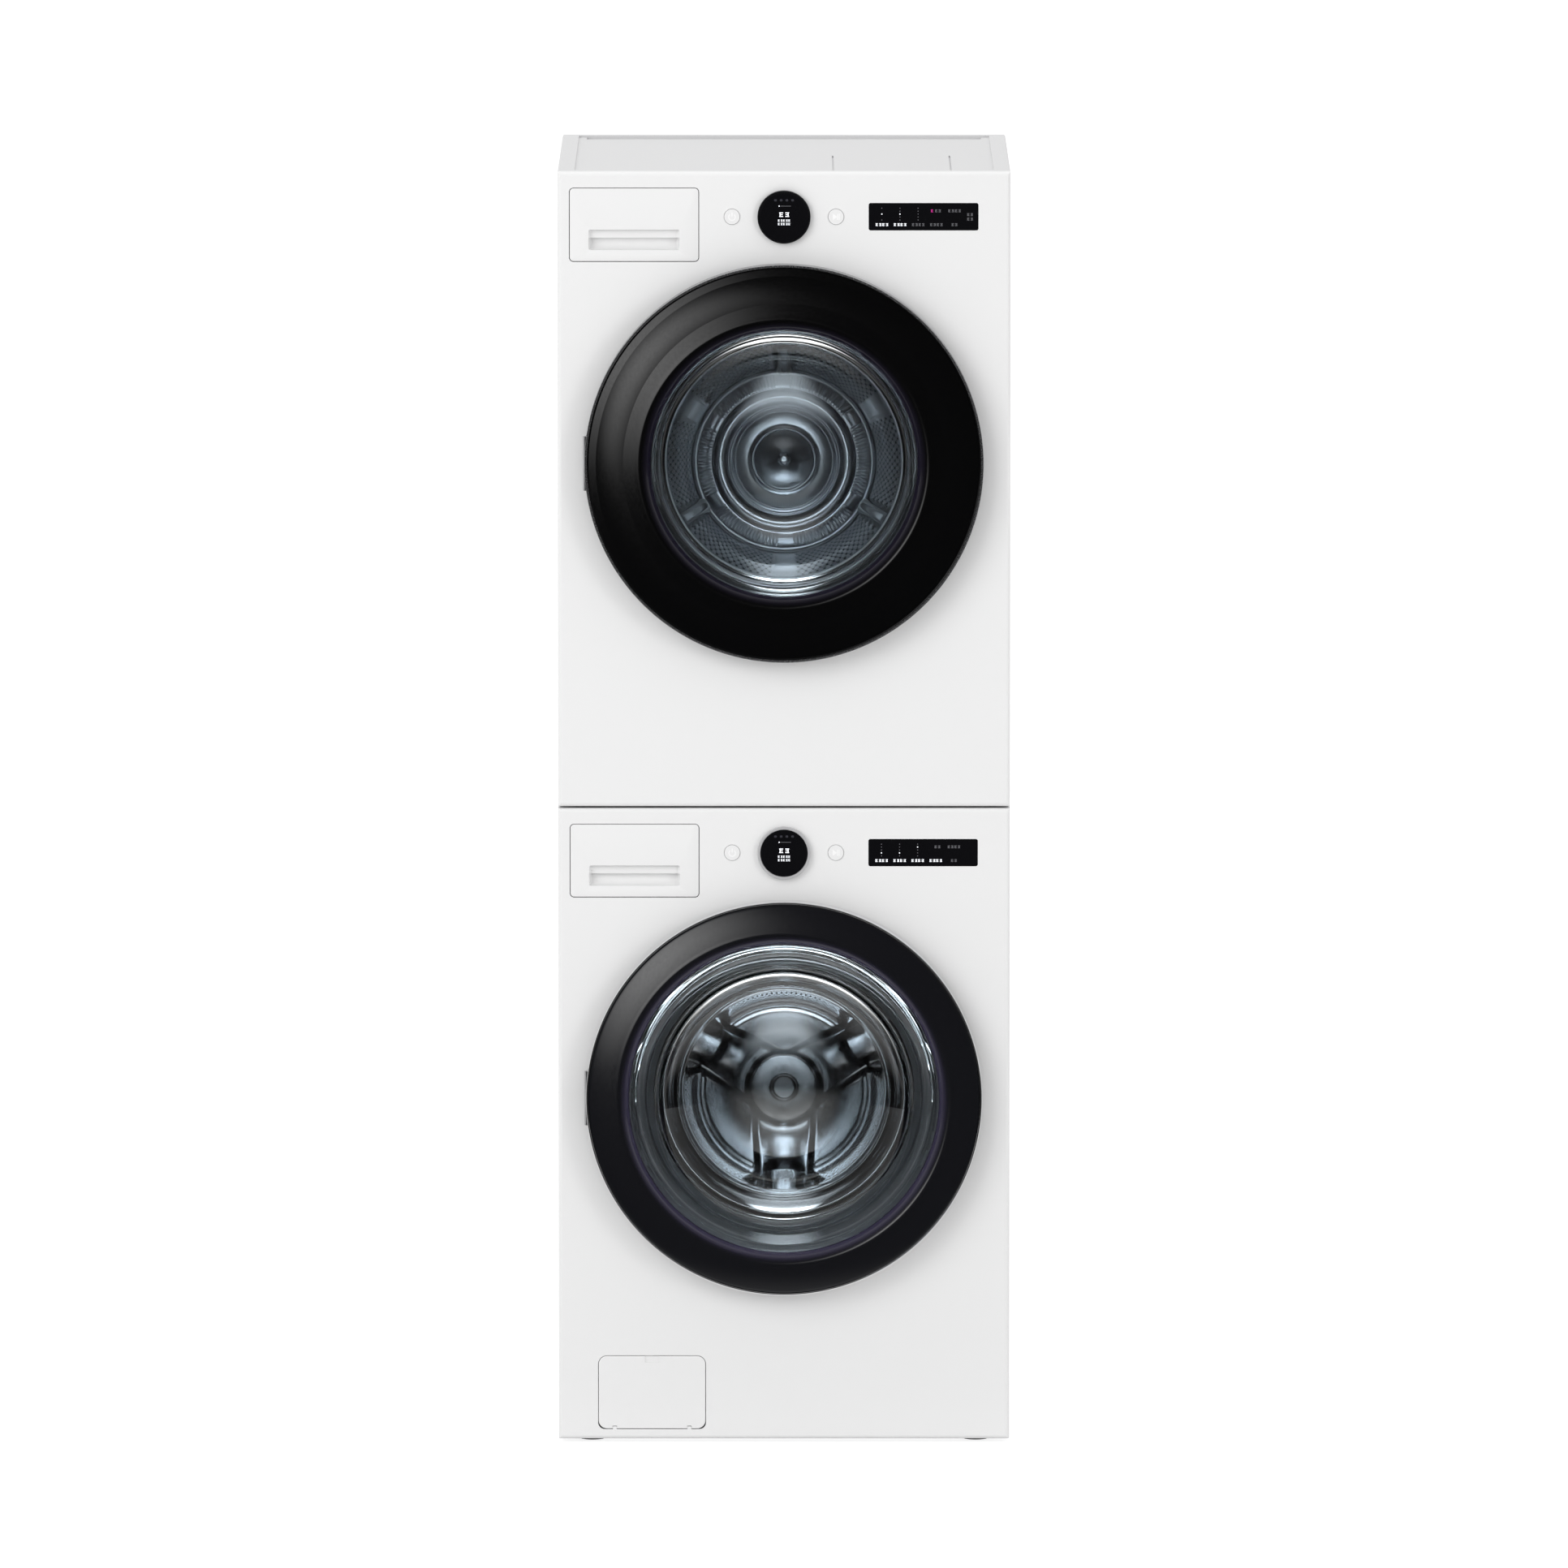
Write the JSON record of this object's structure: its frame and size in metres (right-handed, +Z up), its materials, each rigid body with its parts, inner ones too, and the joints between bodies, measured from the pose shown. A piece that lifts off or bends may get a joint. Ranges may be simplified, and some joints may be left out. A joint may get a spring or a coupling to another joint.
{
  "type": "washer dryer stack",
  "caption": "Front-loading washer with a heat-pump dryer stacked on it, round doors, dials, drawers and drums that move.",
  "frame": {"origin": "middle of the footprint, on the floor", "axes": "+X to the right seen from the front, +Y from the doors to the back, +Z up"},
  "size_m": [0.7, 0.83, 1.98],
  "materials": {
    "white_steel": "white powder coat",
    "white_front": "satin white",
    "top_white": "fine satin white",
    "white_key": "satin white",
    "zinc_steel": "galvanised sheet",
    "door_black": "high gloss black",
    "rim_bright": "bright",
    "rim_grey": "satin dark grey",
    "bowl_glass": "clear pressed",
    "door_grey": "moulded",
    "hinge_steel": "zinc plated",
    "display_black": "black glass look",
    "ring_silver": "bright",
    "ring_dark": "dark satin",
    "drum_steel": "stainless",
    "paddle_steel": "steel-faced moulding",
    "spider_alloy": "cast",
    "tub_plastic": "glass-filled moulding",
    "motor_metal": "dark enamel",
    "weight_grey": "rough grey",
    "rod_steel": "plain",
    "dark_plastic": "moulded",
    "seal_rubber": "matt",
    "drawer_white": "moulded",
    "bulkhead_grey": "moulded",
    "fin_aluminium": "plain fins"
  },
  "bodies": {
    "root": {"washer_cabinet": "white_steel", "base_pans": "zinc_steel", "top_plates": "top_white", "washer_feet": "seal_rubber", "washer_front_panel": "white_front", "washer_gasket": "seal_rubber", "washer_damper_cylinders": "dark_plastic", "washer_drain_pump": "dark_plastic", "dryer_cabinet": "white_steel", "dryer_front_panel": "white_front", "dryer_front_bulkhead": "bulkhead_grey", "dryer_lint_filter": "bulkhead_grey", "dryer_rear_brace": "zinc_steel", "dryer_belt": "seal_rubber", "dryer_motor": "motor_metal", "dryer_compressor": "motor_metal", "dryer_heat_exchangers": "fin_aluminium", "rear_panels": "zinc_steel", "display_windows": "display_black", "door_hardware": "hinge_steel", "drawer_housings": "drawer_white", "rear_fittings": "dark_plastic", "stacking_hardware": "zinc_steel", "washer_springs": "rod_steel"},
    "washer_tub": {"washer_tub": "tub_plastic", "washer_stator": "motor_metal", "washer_counterweight": "weight_grey", "washer_damper_rods": "rod_steel"},
    "washer_drum": {"washer_drum": "drum_steel", "washer_drum_lifters": "paddle_steel", "washer_spider": "spider_alloy", "washer_rotor": "motor_metal"},
    "washer_drawer": {"washer_drawer_front": "white_front", "washer_detergent_tray": "drawer_white"},
    "washer_dial": {"washer_dial_ring": "ring_silver"},
    "washer_power_button": {"washer_power_button": "white_key"},
    "washer_start_button": {"washer_start_button": "white_key"},
    "washer_door": {"washer_door_frame": "door_black", "washer_door_ring": "rim_bright", "washer_door_glass": "bowl_glass", "washer_door_inner": "door_grey", "washer_door_fittings": "hinge_steel"},
    "filter_cover": {"washer_filter_cover": "white_front"},
    "pump_filter": {"washer_pump_filter": "dark_plastic"},
    "dryer_drum": {"dryer_drum": "drum_steel", "dryer_drum_back": "drum_steel"},
    "dryer_motor_shaft": {"dryer_motor_shaft": "rod_steel"},
    "dryer_idler": {"dryer_idler": "dark_plastic"},
    "dryer_roller_left": {"dryer_roller_left": "seal_rubber"},
    "dryer_roller_right": {"dryer_roller_right": "seal_rubber"},
    "dryer_tank": {"dryer_tank_front": "white_front", "dryer_tank": "drawer_white"},
    "dryer_dial": {"dryer_dial_ring": "ring_dark"},
    "dryer_power_button": {"dryer_power_button": "white_key"},
    "dryer_start_button": {"dryer_start_button": "white_key"},
    "dryer_door": {"dryer_door_frame": "door_black", "dryer_door_ring": "rim_grey", "dryer_door_window": "bowl_glass", "dryer_door_inner": "door_grey", "dryer_door_fittings": "hinge_steel"}
  },
  "joints": [
    {"name": "washer_door_hinge", "type": "hinge", "parent": "root", "child": "washer_door", "pos_m": [-0.303, -0.391, 0.543], "axis": [0, 0, -1], "range_deg": [0, 120]},
    {"name": "dryer_door_hinge", "type": "hinge", "parent": "root", "child": "dryer_door", "pos_m": [-0.304, -0.391, 1.531], "axis": [0, 0, -1], "range_deg": [0, 120]},
    {"name": "washer_drawer_slide", "type": "slide", "parent": "root", "child": "washer_drawer", "axis": [0, -1, 0], "range_m": [0, 0.2]},
    {"name": "dryer_tank_slide", "type": "slide", "parent": "root", "child": "dryer_tank", "axis": [0, -1, 0], "range_m": [0, 0.28]},
    {"name": "washer_dial_turn", "type": "hinge", "parent": "root", "child": "washer_dial", "pos_m": [0, -0.367, 0.923], "axis": [0, 1, 0], "continuous": true},
    {"name": "dryer_dial_turn", "type": "hinge", "parent": "root", "child": "dryer_dial", "pos_m": [0, -0.367, 1.911], "axis": [0, 1, 0], "continuous": true},
    {"name": "washer_power_press", "type": "slide", "parent": "root", "child": "washer_power_button", "axis": [0, 1, 0], "range_m": [0, 0.0015], "stiffness_N_per_m": 400, "springref_m": -0.002},
    {"name": "washer_start_press", "type": "slide", "parent": "root", "child": "washer_start_button", "axis": [0, 1, 0], "range_m": [0, 0.0015], "stiffness_N_per_m": 400, "springref_m": -0.002},
    {"name": "dryer_power_press", "type": "slide", "parent": "root", "child": "dryer_power_button", "axis": [0, 1, 0], "range_m": [0, 0.0015], "stiffness_N_per_m": 400, "springref_m": -0.002},
    {"name": "dryer_start_press", "type": "slide", "parent": "root", "child": "dryer_start_button", "axis": [0, 1, 0], "range_m": [0, 0.0015], "stiffness_N_per_m": 400, "springref_m": -0.002},
    {"name": "washer_tub_float", "type": "slide", "parent": "root", "child": "washer_tub", "axis": [0, 0, 1], "range_m": [-0.008, 0.008], "stiffness_N_per_m": 20000, "springref_m": 0.0191, "deforming": ["washer_springs"]},
    {"name": "washer_drum_spin", "type": "hinge", "parent": "washer_tub", "child": "washer_drum", "pos_m": [0, -0.367, 0.543], "axis": [0, 0.9959, -0.0906], "continuous": true},
    {"name": "filter_cover_hinge", "type": "hinge", "parent": "root", "child": "filter_cover", "pos_m": [-0.205, -0.3655, 0.0235], "axis": [1, 0, 0], "range_deg": [0, 90]},
    {"name": "pump_filter_turn", "type": "hinge", "parent": "root", "child": "pump_filter", "pos_m": [-0.205, -0.367, 0.079], "axis": [0, -1, 0], "range_deg": [0, 180]},
    {"name": "dryer_drum_spin", "type": "hinge", "parent": "root", "child": "dryer_drum", "pos_m": [0, -0.367, 1.531], "axis": [0, 0.9965, -0.0837], "continuous": true},
    {"name": "dryer_motor_spin", "type": "hinge", "parent": "root", "child": "dryer_motor_shaft", "pos_m": [0.215, -0.10115, 1.17751], "axis": [0, 0.9965, -0.0837], "continuous": true},
    {"name": "dryer_idler_spin", "type": "hinge", "parent": "root", "child": "dryer_idler", "pos_m": [0.071, -0.10194, 1.16802], "axis": [0, 0.9965, -0.0837], "continuous": true},
    {"name": "dryer_roller_left_spin", "type": "hinge", "parent": "root", "child": "dryer_roller_left", "pos_m": [-0.17244, -0.30639, 1.24898], "axis": [0, 0.9965, -0.0837], "continuous": true},
    {"name": "dryer_roller_right_spin", "type": "hinge", "parent": "root", "child": "dryer_roller_right", "pos_m": [0.17244, -0.30639, 1.24898], "axis": [0, 0.9965, -0.0837], "continuous": true}
  ],
  "couplings": [
    {"joint": "dryer_motor_spin", "follows": "dryer_drum_spin", "ratio": 22.628},
    {"joint": "dryer_idler_spin", "follows": "dryer_drum_spin", "ratio": -11.27},
    {"joint": "dryer_roller_left_spin", "follows": "dryer_drum_spin", "ratio": -8.2857},
    {"joint": "dryer_roller_right_spin", "follows": "dryer_drum_spin", "ratio": -8.2857}
  ]
}
